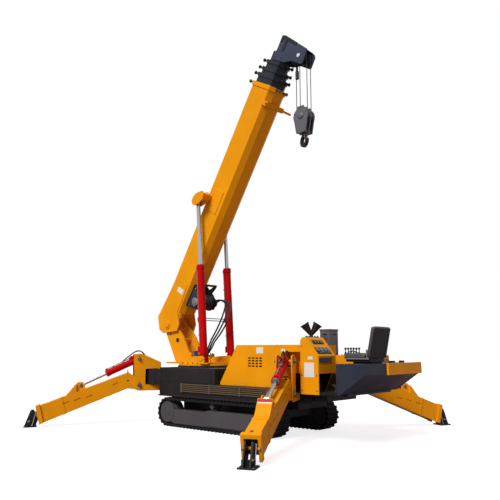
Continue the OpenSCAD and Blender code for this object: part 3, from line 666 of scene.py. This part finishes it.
def luff_cylinder_fittings():
    """Gland ring, valve blocks and pipes of the luffing cylinders."""
    for tag in ("l", "r"):
        foot, along, back = luff_axes(tag)
        body = "luffing_barrel_" + tag
        bm = bmesh.new()
        add_lathe(bm, foot + along * 1.948, along, [(0, 0.076), (0.01, 0.076), (0.014, 0.07), (0.022, 0.052)], 48)
        add_bolt_circle(bm, foot + along * 1.957, along, (Y, back), 0.064, 10, 0.006)
        place_mesh("luff_gland_" + tag, bm, body, "bolt_steel")
        bm = bmesh.new()
        m = facing(foot, back, along)
        add_box(bm, (-0.05, 0.13, 0.066), (0.05, 0.26, 0.12), 0.006, m)
        add_box(bm, (-0.032, 1.86, 0.074), (0.032, 1.925, 0.108), 0.005, m)
        add_box(bm, (-0.04, 0.76, 0.066), (0.04, 0.86, 0.112), 0.006, m)
        place_mesh("luff_valve_" + tag, bm, body, "red_paint")
        bm = bmesh.new()
        for x in (-0.022, 0.022):
            route = [(x, 0.25, 0.094), (x, 0.42, 0.092), (x, 1.3, 0.092), (x, 1.88, 0.092)]
            sweep(bm, [m @ p for p in smooth_line(route, 30)], PIPE_OUTLINE)
        for y in (0.48, 1.06, 1.48):
            add_box(bm, (-0.04, y, 0.072), (0.04, y + 0.024, 0.106), 0.003, m)
        place_mesh("luff_pipes_" + tag, bm, body, "bolt_steel")


def luff_links():
    """Two thin pipes with their nuts that join the luffing cylinders."""
    foot, along, back = luff_axes("l")
    foot.y = 0
    bm = bmesh.new()
    for d in (0.8, 0.845):
        a = foot + along * d + back * 0.094
        sweep(bm, [a + Y * y for y in (-0.4, -0.2, 0, 0.2, 0.4)], PIPE_OUTLINE)
        for y in (-0.355, 0.355):
            add_lathe(bm, a + Y * (y - 0.018), Y, rod(0.016, 0.036), 6)
    place_mesh("luff_cross_pipes", bm, "luffing_barrel_l", "bolt_steel")


# Boom
SECTIONS = (("boom", 5.6), ("boom_section_2", 5.8), ("boom_section_3", 5.94), ("boom_section_4", 6.1))
SECTION_STEP = 0.026  # each section is smaller than the last by this, on every side


def collar_bolts():
    """Pad bolts with round heads on the top and the underside of each section's collar."""
    for k, (body, end) in enumerate(SECTIONS):
        bm = bmesh.new()
        over, under = 0.361 - SECTION_STEP * k, 0.271 - SECTION_STEP * k
        top_y, low_y = 0.212 - SECTION_STEP * k, 0.105 - 0.015 * k
        for y, n, sign in ((-top_y, over, 1), (top_y, over, 1), (-low_y, -under, -1), (low_y, -under, -1)):
            add_lathe(bm, boom_at(end - 0.032, y, n - 0.003 * sign), BOOM_UP * sign,
                      [(0, 0.03), (0.012, 0.03), (0.014, 0.016), (0.075, 0.016), (0.077, 0.032),
                       (0.088, 0.036), (0.104, 0.036), (0.112, 0.026)], 20)
        place_mesh("collar_bolts_%d" % k, bm, body, "black_plastic" if k else "pipe_metal")


def boom_fittings():
    """Blank plate and weld lines of the boom's base."""
    bm = bmesh.new()
    add_plate(bm, boom_at(0.835, -0.255, 0.02), NEAR, 0.115, 0.2, 0.003, up=BOOM_UP)
    place_mesh("boom_plate", bm, "boom", "plate_white")
    bm = bmesh.new()
    weld_twist = 30
    bead = [0.002 * (i % 2) for i in range(10)]
    for side in (-1, 1):
        top, low = (boom_at(1.019, side * 0.2475, n) for n in (0.3, -0.112))
        sweep(bm, straight(top, low, 40), [0.01 + rib for rib in bead], weld_twist)
        rim = [boom_at(s, side * 0.2465, n)
               for s, n in ((2.716, 0.2), (3.208, 0.2), (3.208, -0.087), (2.716, -0.087))]
        for a, b in zip(rim, rim[1:] + rim[:1]):
            sweep(bm, straight(a, b, 24), [0.009 + rib for rib in bead], weld_twist)
    place_mesh("boom_welds", bm, "boom", "yellow_paint")


def winch_fittings():
    """End caps and bolts of the winch, and its side plate."""
    bm = bmesh.new()
    for side, end in ((-1, 0.285), (1, 0.3)):
        axis = Y * side
        centre = boom_at(WINCH_S, side * end, WINCH_N)
        add_lathe(bm, centre - axis * 0.002, axis,
                  [(0, 0.092), (0.006, 0.092), (0.009, 0.062), (0.014, 0.054)], 32)
        add_bolt_circle(bm, centre + axis * 0.003, axis, (BOOM_DIR, BOOM_UP), 0.076, 8, 0.008)
        for s, n in ((0.68, -0.33), (1.06, -0.33), (0.72, -0.5), (1.02, -0.5), (0.86, -0.7)):
            add_bolt(bm, boom_at(s, side * 0.1895, n), axis, 0.012)
    place_mesh("winch_bolts", bm, "boom", "bolt_steel")
    bm = bmesh.new()
    m = facing(boom_at(0.862, -0.19, -0.385), NEAR, BOOM_UP)
    add_box(bm, (-0.18, -0.105, -0.001), (0.18, 0.095, 0.006), 0.003, m)
    place_mesh("winch_plate", bm, "boom", "slate_paint")


def head_guard():
    """Rope guard over the head, its cross rods and the straps on its side plates."""
    bm = bmesh.new()
    arch = ((6.6, -0.125, 0.098), (6.62, -0.122, 0.098), (6.627, -0.09, 0.096),
            (6.627, 0.09, 0.096), (6.62, 0.122, 0.098), (6.6, 0.125, 0.098))
    sweep(bm, smooth_line([boom_at(*p) for p in arch], 40), [0.01] * 12)
    for s in (6.36, 6.44, 6.52):
        add_lathe(bm, boom_at(s, -0.139, 0.117), Y, rod(0.008, 0.278), 10)
    for side in (-1, 1):
        axis, y = Y * side, side * HEAD_FACE
        a, b = boom_at(6.612, y, 0.04), boom_at(6.53, y, -0.35)
        reach = (b - a).length / 2
        add_box(bm, (-0.034, -reach, -0.001), (0.034, reach, 0.008), 0.002, facing((a + b) / 2, axis, b - a))
        m = facing(boom_at(6.47, y, -0.045), axis, BOOM_DIR)
        add_box(bm, (-0.03, -0.14, -0.001), (0.03, 0.14, 0.01), 0.003, m)
        m = facing(boom_at(6.585, y, 0.085), axis, BOOM_DIR)
        add_box(bm, (-0.03, -0.08, -0.001), (0.03, 0.04, 0.012), 0.003, m)
    place_mesh("head_guard", bm, "boom_section_5", "black_plastic")


# Deck
HOOD_Y = 0.699  # the hood's sides
CONSOLE_X, CONSOLE_Y = 2.396, 0.8  # the console's face to the seat and its near side
FLOOR_Z, RACK_Z, TANK_Z = 0.812, 1.4, 1.275  # tops of the foot plate, the lever deck and the tank


def hood_fittings():
    """Blank plates and lid seams of the hood, and bolts along its foot."""
    white, seam, bolts = bmesh.new(), bmesh.new(), bmesh.new()
    add_plate(white, (1.045, -0.7, 1.484), NEAR, 0.165, 0.112, 0.003)
    add_plate(white, (1.581, -0.7, 1.484), NEAR, 0.088, 0.052, 0.003)
    place_mesh("hood_plates", white, "chassis", "plate_white")
    for side in (-1, 1):
        for x in (0.2, 0.45, 0.7, 0.95, 1.2, 1.45):
            add_bolt(bolts, (x, side * HOOD_Y, 0.872), Y * side, 0.01)
    for x in (0.62, 1.02, 1.42):
        add_box(seam, (x, -HOOD_Y, 1.5815), (x + 0.004, HOOD_Y, 1.5832))
    place_mesh("hood_seams", seam, "chassis", "dark_paint")
    place_mesh("hood_bolts", bolts, "chassis", "yellow_paint")


def console_fittings():
    """Blank plates, the grille strip, gauges, switches and lever boots of the operator's console."""
    white, grey, black, glass, metal = (bmesh.new() for _ in range(5))
    add_plate(white, (2.208, -CONSOLE_Y, 1.168), NEAR, 0.2, 0.238, 0.003)
    add_plate(white, (2.235, -CONSOLE_Y, 1.36), NEAR, 0.098, 0.05, 0.003)
    add_plate(grey, (CONSOLE_X, -0.6, 1.328), X, 0.37, 0.084, 0.005)
    for i in range(9):
        add_plate(black, (CONSOLE_X + 0.0045, -0.74 + 0.035 * i, 1.328), X, 0.014, 0.06, 0.002)
    slope = Vector((0.306, 0, 0.246)).normalized()
    rise = Vector((-0.246, 0, 0.306)).normalized()

    def panel_at(d, y):
        """Point of the sloping panel: d up it from its lower edge, y across."""
        return Vector((CONSOLE_X, y, 1.4)) + rise * d

    add_plate(black, panel_at(0.105, -0.56), slope, 0.4, 0.13, 0.008, up=rise)
    add_plate(black, panel_at(0.285, -0.56), slope, 0.3, 0.08, 0.008, up=rise)
    panel = slope * 0.008
    for i, y in enumerate((-0.715, -0.615, -0.515, -0.415)):
        place = panel_at(0.12, y) + panel
        add_lathe(metal, place, slope, cap(0.04, 0.012, 0.034, 0.014), 32)
        add_lathe(glass, place + slope * 0.0125, slope, cap(0.034, 0.002, 0.03, 0.003), 32)
        add_box(white, (-0.0012, -0.004, 0.015), (0.0012, 0.026, 0.0165), 0.0,
                facing(place, slope, rise) @ Matrix.Rotation(0.7 - 0.5 * i, 4, "Z"))
    for y in (-0.69, -0.635, -0.58, -0.525, -0.47, -0.415):
        add_lathe(metal, panel_at(0.062, y) + panel, slope,
                  [(0, 0.013), (0.006, 0.013), (0.008, 0.007), (0.022, 0.006)], 14)
    for y in (-0.64, -0.56, -0.48):
        add_lathe(glass, panel_at(0.285, y) + panel, slope, cap(0.026, 0.006, 0.02, 0.009), 24)
    for y in (-0.72, -0.64, -0.56, -0.48, -0.4):
        add_lathe(black, (2.108, y, 1.705), UP, [(0, 0.024), (0.01, 0.024), (0.022, 0.012), (0.026, 0.007)], 18)
    for x, z in ((2.06, 0.84), (2.36, 0.84), (2.06, 1.08), (2.36, 1.08), (2.06, 1.56)):
        add_bolt(metal, (x, -0.7995, z), NEAR, 0.01)
    place_mesh("console_plates", white, "chassis", "plate_white")
    place_mesh("console_grille", grey, "chassis", "grey_steel")
    place_mesh("console_panels", black, "chassis", "black_plastic")
    place_mesh("console_glass", glass, "chassis", "screen_glass")
    place_mesh("console_rings", metal, "chassis", "bolt_steel")


def deck_fittings():
    """Tread plate, pedals, lever rack, cabinet doors, tank caps and lamp glasses."""
    tread, rubber, metal, dark, pale = (bmesh.new() for _ in range(5))
    for i in range(17):
        for j in range(22):
            m = turned((2.24 + 0.033 * i, -0.74 + 0.044 * j, FLOOR_Z), pi / 4 if (i + j) % 2 else -pi / 4)
            add_box(tread, (-0.013, -0.003, -0.001), (0.013, 0.003, 0.0022), 0.0, m)
    place_mesh("tread_pattern", tread, "chassis", "dark_paint")
    for y in (-0.56, -0.38):
        m = turned((2.56, y, 0.9), radians(38), "Y")
        add_box(rubber, (-0.06, -0.045, -0.008), (0.06, 0.045, 0.008), 0.005, m)
        for k in range(5):
            x = 0.022 * k
            add_box(rubber, (x - 0.05, -0.04, 0.007), (x - 0.04, 0.04, 0.011), 0.0, m)
        add_box(metal, (2.552, y - 0.008, FLOOR_Z - 0.001), (2.572, y + 0.008, 0.9), 0.003)
    add_plate(dark, (2.215, 0.53, RACK_Z), UP, 0.16, 0.4, 0.006, up=X)
    for x in (2.03, 2.4):
        for y in (0.462, 0.598):
            add_bolt(metal, (x, y, RACK_Z + 0.0055), UP, 0.008)
    for i in range(6):
        add_lathe(rubber, (2.07 + 0.058 * i, 0.53, RACK_Z + 0.023), UP,
                  [(0, 0.025), (0.008, 0.02), (0.012, 0.023), (0.02, 0.016), (0.024, 0.019), (0.034, 0.01)], 18)
    for place, normal, w in ((Vector((1.9, 0.422, 1.622)), X, 0.21),
                             (Vector((1.786, 0.296, 1.622)), NEAR, 0.186)):
        add_plate(pale, place, normal, w, 0.4, 0.006, bevel=0.003)
        right, door = UP.cross(normal), place + normal * 0.006
        for dz in (-0.155, 0.155):
            add_plate(dark, door + UP * dz, normal, 0.09, 0.026, 0.002)
        add_plate(metal, place + right * (w / 2 - 0.025) + normal * 0.005, normal, 0.018, 0.08, 0.014)
        add_plate(dark, door - right * (w / 4) - UP * 0.06, normal, 0.07, 0.06, 0.002)
    add_box(dark, (1.666, 0.29, 1.867), (1.906, 0.554, 1.873), 0.003)
    for x, y, r in ((3.15, 0.25, 0.055), (3.15, 0.6, 0.045)):
        add_lathe(dark, (x, y, TANK_Z), UP,
                  [(0, r + 0.012), (0.006, r + 0.012), (0.008, r), (0.034, r), (0.04, r - 0.008)], 28)
        for k in range(14):
            add_box(dark, (r - 0.003, -0.004, 0.01), (r + 0.004, 0.004, 0.034), 0.0,
                    turned((x, y, TANK_Z), 2 * pi * k / 14))
    for y in (-0.8, -0.62, 0.02, 0.42, 0.8):
        add_bolt(metal, (2.845, y, TANK_Z + 0.0005), UP, 0.01)
    grip = ((0.33, 1.276), (0.33, 1.32), (0.36, 1.338), (0.52, 1.338), (0.55, 1.32), (0.55, 1.276))
    sweep(metal, smooth_line([(2.93, y, z) for y, z in grip], 36), [0.01] * 12)
    base = turned((1.735, -0.07, 0), radians(40))
    for side in (0, 1):
        m = base @ turned((0.022 - 0.044 * side, 0, 1.796), pi * side) @ Matrix.Rotation(radians(32), 4, "Y")
        lens = m @ Vector((0, 0, 0.1865))
        right, rise, axis = (m.to_3x3() @ d for d in (X, Y, UP))
        glass = bmesh.new()
        add_lathe(glass, lens, axis, [(-0.004, 0.074), (0.001, 0.074), (0.004, 0.06), (0.006, 0.03)], 32)
        place_mesh("lamp_glass_%d" % side, glass, "chassis", "lens_glass", smooth=True)
        add_bolt_circle(dark, lens, axis, (right, rise), 0.081, 6, 0.004)
    place_mesh("deck_rubber", rubber, "chassis", "black_plastic")
    place_mesh("deck_metal", metal, "chassis", "bolt_steel")
    place_mesh("deck_dark", dark, "chassis", "black_plastic")
    place_mesh("cabinet_doors", pale, "chassis", "grey_steel")


# Chassis
HUB_Y, HUB_Z = 0.905, 0.28  # the track frames' hubs


def chassis_fittings():
    """Track hubs, pipe nuts, turret box panels, the belly's cross piece and dark plates in the foot well that
    paint its shade.
    """
    hubs, dark, nuts = bmesh.new(), bmesh.new(), bmesh.new()
    for side in (-1, 1):
        axis = Y * side
        for x in (-1.235, 1.355):
            add_lathe(hubs, (x, side * HUB_Y, HUB_Z), axis,
                      [(0, 0.095), (0.004, 0.095), (0.006, 0.088), (0.008, 0.05), (0.01, 0.046)], 36)
            add_bolt_circle(hubs, (x, side * (HUB_Y + 0.0055), HUB_Z), axis, (X, UP), 0.07, 6, 0.006)
        add_plate(dark, (-0.8, side * 0.83, 0.985), axis, 1.42, 0.26, 0.006)
        for x in (-1.46, -1.13, -0.8, -0.47, -0.14):
            for z in (0.88, 1.09):
                add_bolt(dark, (x, side * 0.835, z), axis, 0.01)
        for i in range(5):
            for x in (-0.905, 1.36):
                add_lathe(nuts, (x, side * 0.854, 0.686 + 0.034 * i), X, cap(0.0155, 0.034, 0.013, 0.038), 6)
    add_box(dark, (1.349, -0.43, 0.462), (1.7, 0.43, 0.601), 0.01)
    # Dark plates on the foot well's back wall and on the console's side of it: painted shade of the recess.
    add_plate(dark, (2.03, -0.035, 1.03), X, 0.56, 0.43, 0.004)
    add_prism(dark, ((2.1805, 0.814), (2.187, 0.814), (2.331, 1.107), (2.1805, 1.107)), -0.3195, -0.3235)
    place_mesh("track_hubs", hubs, "chassis", "frame_grey")
    place_mesh("chassis_panels_and_well_shade", dark, "chassis", "dark_paint")
    place_mesh("pipe_nuts", nuts, "chassis", "pipe_metal")


# Legs
def leg_fittings():
    """Warning tape, lock handle, plug and dark end plates of each leg, the plates painted shade inside its open
    end, and its foot's bright links and bolts.
    """
    for key, leg in LEGS.items():
        body, foot_body = "outrigger_leg_" + key, "foot_pad_" + key
        out_up = (leg.out * 0.236 + UP * 0.194).normalized()
        down = (leg.out * 0.194 - UP * 0.236).normalized()
        for colour, t, tall in (("tape_red", 0.034, 0.05), ("tape_white", 0.071, 0.022)):
            bm = bmesh.new()
            add_plate(bm, leg.at(1.606, 0, 0.806) + down * t, out_up, 0.216, tall, 0.0012, up=-down, bevel=0.0)
            place_mesh(colour + "_" + key, bm, body, colour)
        bm = bmesh.new()
        add_lathe(bm, leg.at(0.58, 0.06, 1.018), UP, [(0, 0.02), (0.01, 0.02), (0.014, 0.01), (0.056, 0.01)], 16)
        add_lathe(bm, leg.at(0.58, 0.015, 1.068), leg.across,
                  [(0, 0.009), (0.004, 0.011), (0.086, 0.011), (0.09, 0.009)], 14)
        place_mesh("leg_handle_" + key, bm, body, "black_plastic")
        bm = bmesh.new()
        for w in (-0.074, 0.074):
            foot, top = leg.at(2.395, w, 0.024), leg.at(2.33, w, 0.3)
            add_lathe(bm, foot, top - foot, [(0, 0.018), (0.016, 0.018), (0.02, 0.011), (0.25, 0.011),
                                             (0.256, 0.015), (0.276, 0.015)], 18)
        place_mesh("foot_links_" + key, bm, foot_body, "chrome_rod")
        bm = bmesh.new()
        for r in (2.33, 2.53):
            for w in (-0.095, 0.095):
                add_bolt(bm, leg.at(r, w, 0.0235), UP, 0.01)
        for side in (-1, 1):
            add_bolt(bm, leg.at(2.455, side * 0.0605, 0.105), leg.across * side, 0.018)
        place_mesh("foot_bolts_" + key, bm, foot_body, "bolt_steel")
        # Dark plates that close the leg's open end and line its sides: painted shade of the hollow inside, and a
        # wall where it was see-through.
        bm = bmesh.new()
        add_box(bm, (2.118, -0.0985, 0.118), (2.13, 0.0985, 0.424), 0.002, leg.matrix)
        for w in (-0.097, 0.097):
            add_box(bm, (2.128, w - 0.0015, 0.125), (2.25, w + 0.0015, 0.376), 0.001, leg.matrix)
        place_mesh("leg_end_shade_" + key, bm, body, "dark_paint")
        bm = bmesh.new()
        add_lathe(bm, leg.at(2.215, -0.02, 0.4295), leg.out * 0.341 + UP * 0.94,
                  [(-0.004, 0.026), (0.003, 0.026), (0.005, 0.02), (0.002, 0.014)], 20)
        place_mesh("leg_plug_" + key, bm, body, "pipe_metal")


# Seat
PAD_CELLS_U, PAD_CELLS_V = 44, 48
BOLSTER_SEAMS = (-0.62, 0.62)  # places across, where the half width is 1
CHANNEL_END = 0.64  # the sewn channels end at the bolsters
EDGE_START = 0.86  # the pad's rounded border starts here
PAD_REACH = 0.014  # how far a point may swell
CLOTH = dict(quality=6, mass=0.3, tension_stiffness=18, compression_stiffness=18, bending_stiffness=1.5,
             use_pressure=True, uniform_pressure_force=5.0, vertex_group_mass="seams")
CLOTH_STEPS = 20
SEAT_Y = -0.3


def swell(obj, pinned):
    """Short pressure simulation that crowns a pad between its pinned seams."""
    start = [v.co.copy() for v in obj.data.vertices]
    group = obj.vertex_groups.new(name="seams")
    group.add(pinned, 1.0, "REPLACE")
    mod = obj.modifiers.new("cloth", "CLOTH")
    for key, value in CLOTH.items():
        setattr(mod.settings, key, value)
    mod.settings.effector_weights.gravity = 0.0
    mod.collision_settings.use_self_collision = False
    mod.point_cache.frame_end = CLOTH_STEPS
    scene = bpy.context.scene
    for step in range(1, CLOTH_STEPS + 1):
        scene.frame_set(step)
    done = obj.evaluated_get(bpy.context.evaluated_depsgraph_get())
    moved = [v.co.copy() for v in done.data.vertices]
    obj.modifiers.remove(mod)
    scene.frame_set(1)
    for v, a, b in zip(obj.data.vertices, start, moved):
        move = b - a
        v.co = a + (move if move.length < PAD_REACH else move.normalized() * PAD_REACH)


def pad_form(name, across, along, height, place, channels):
    """Crowned pad, built smaller than its node, swollen between its sewn channels and subdivided once.
    place maps a point along, across and up from the pad's middle to the crane."""
    bm = bmesh.new()
    nu, nv = PAD_CELLS_U, PAD_CELLS_V
    top, low, sewn = [], [], []
    for i in range(nu + 1):
        u = -1 + 2 * i / nu
        row_top, row_low = [], []
        for j in range(nv + 1):
            v = -1 + 2 * j / nv
            fall = max(0.0, (max(abs(u), abs(v)) - EDGE_START) / (1 - EDGE_START))
            shrink = 1 - 0.03 * (1 - abs(u) ** 3) * abs(v) ** 6
            bolster = 0.2 * max(0.0, abs(v) - 0.62) / 0.38 * (1 - fall)
            rise = height * (0.72 + bolster) * (1 - 0.55 * fall ** 2)
            for c in channels:
                rise -= 0.01 * exp(-((u - c) / 0.035) ** 2) * (1 if abs(v) < CHANNEL_END else 0)
            for c in BOLSTER_SEAMS:
                rise -= 0.012 * exp(-((v - c) / 0.03) ** 2)
            corner = 1 - 0.06 * (abs(u) ** 8) * (abs(v) ** 8)
            a, b = u * along / 2 * shrink * corner, v * across / 2 * corner
            row_top.append(bm.verts.new(place(a, b, rise)))
            row_low.append(bm.verts.new(place(a, b, 0.06 * height * fall)))
            in_channel = abs(v) < CHANNEL_END and any(abs(u - c) < 0.025 for c in channels)
            if in_channel or any(abs(v - c) < 0.022 for c in BOLSTER_SEAMS):
                sewn.append(row_top[-1])
            sewn.append(row_low[-1])
        top.append(row_top)
        low.append(row_low)
    for i in range(nu):
        for j in range(nv):
            bm.faces.new((top[i][j], top[i + 1][j], top[i + 1][j + 1], top[i][j + 1]))
            bm.faces.new((low[i][j], low[i][j + 1], low[i + 1][j + 1], low[i + 1][j]))
    rim = ([(i, 0) for i in range(nu)] + [(nu, j) for j in range(nv)]
           + [(i, nv) for i in range(nu, 0, -1)] + [(0, j) for j in range(nv, 0, -1)])
    for (i, j), (k, m) in zip(rim, rim[1:] + rim[:1]):
        bm.faces.new((top[i][j], low[i][j], low[k][m], top[k][m]))
    bm.verts.index_update()
    pinned = [v.index for v in sewn]
    obj = place_mesh(name, bm, "chassis", "seat_vinyl", smooth=True)
    swell(obj, pinned)
    fine = obj.modifiers.new("fine", "SUBSURF")
    fine.levels = fine.render_levels = 1
    bpy.context.view_layer.objects.active = obj
    with bpy.context.temp_override(object=obj, active_object=obj):
        bpy.ops.object.modifier_apply(modifier="fine")
    return obj


def seat():
    """Padded seat and back rest with side bolsters and sewn channels, the back's shell and the seat's rails."""
    cushion = pad_form("seat_cushion_pad", 0.48, 0.4, 0.118,
                       lambda a, b, h: (2.91 + a, SEAT_Y + b, 1.348 + h), (-0.45, 0.0, 0.45))
    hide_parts("seat_cushion")
    lean = Vector((0.112, 0, 0.513)).normalized()
    front = Vector((-lean.z, 0, lean.x))
    root = Vector((3.264, SEAT_Y, 1.606))
    back = pad_form("seat_back_pad", 0.53, 0.52, 0.096,
                    lambda a, b, h: root + lean * a + Y * b + front * h, (-0.5, -0.15, 0.2, 0.55))
    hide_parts("seat_back")
    bm = bmesh.new()
    add_box(bm, (-0.245, -0.235, -0.01), (0.245, 0.235, 0.006), 0.006, facing(root - front * 0.002, -front, lean))
    place_mesh("seat_back_shell", bm, "chassis", "black_plastic")
    bm = bmesh.new()
    for side in (-1, 1):
        y = SEAT_Y + 0.235 * side
        add_box(bm, (2.76, y - 0.008, 1.342), (3.18, y + 0.008, 1.366), 0.004)
        add_box(bm, (3.13, y - 0.006, 1.342), (3.176, y + 0.006, 1.5), 0.004)
        add_bolt(bm, (3.152, y + 0.006 * side, 1.4), Y * side, 0.01)
    place_mesh("seat_rails", bm, "chassis", "bolt_steel")


bpy.context.scene.view_settings.view_transform = "Standard"
make_camera()
winch_hoses()
leg_hoses()
make_floor()
make_light()
dress_nodes()
leg_pin_caps()
table_pin_caps()
slew_bolts()
rope_rig()
rope_end_fittings()
hook_fittings()
lift_cylinder_fittings()
luff_cylinder_fittings()
collar_bolts()
boom_fittings()
winch_fittings()
head_guard()
luff_links()
hood_fittings()
console_fittings()
deck_fittings()
chassis_fittings()
leg_fittings()
seat()
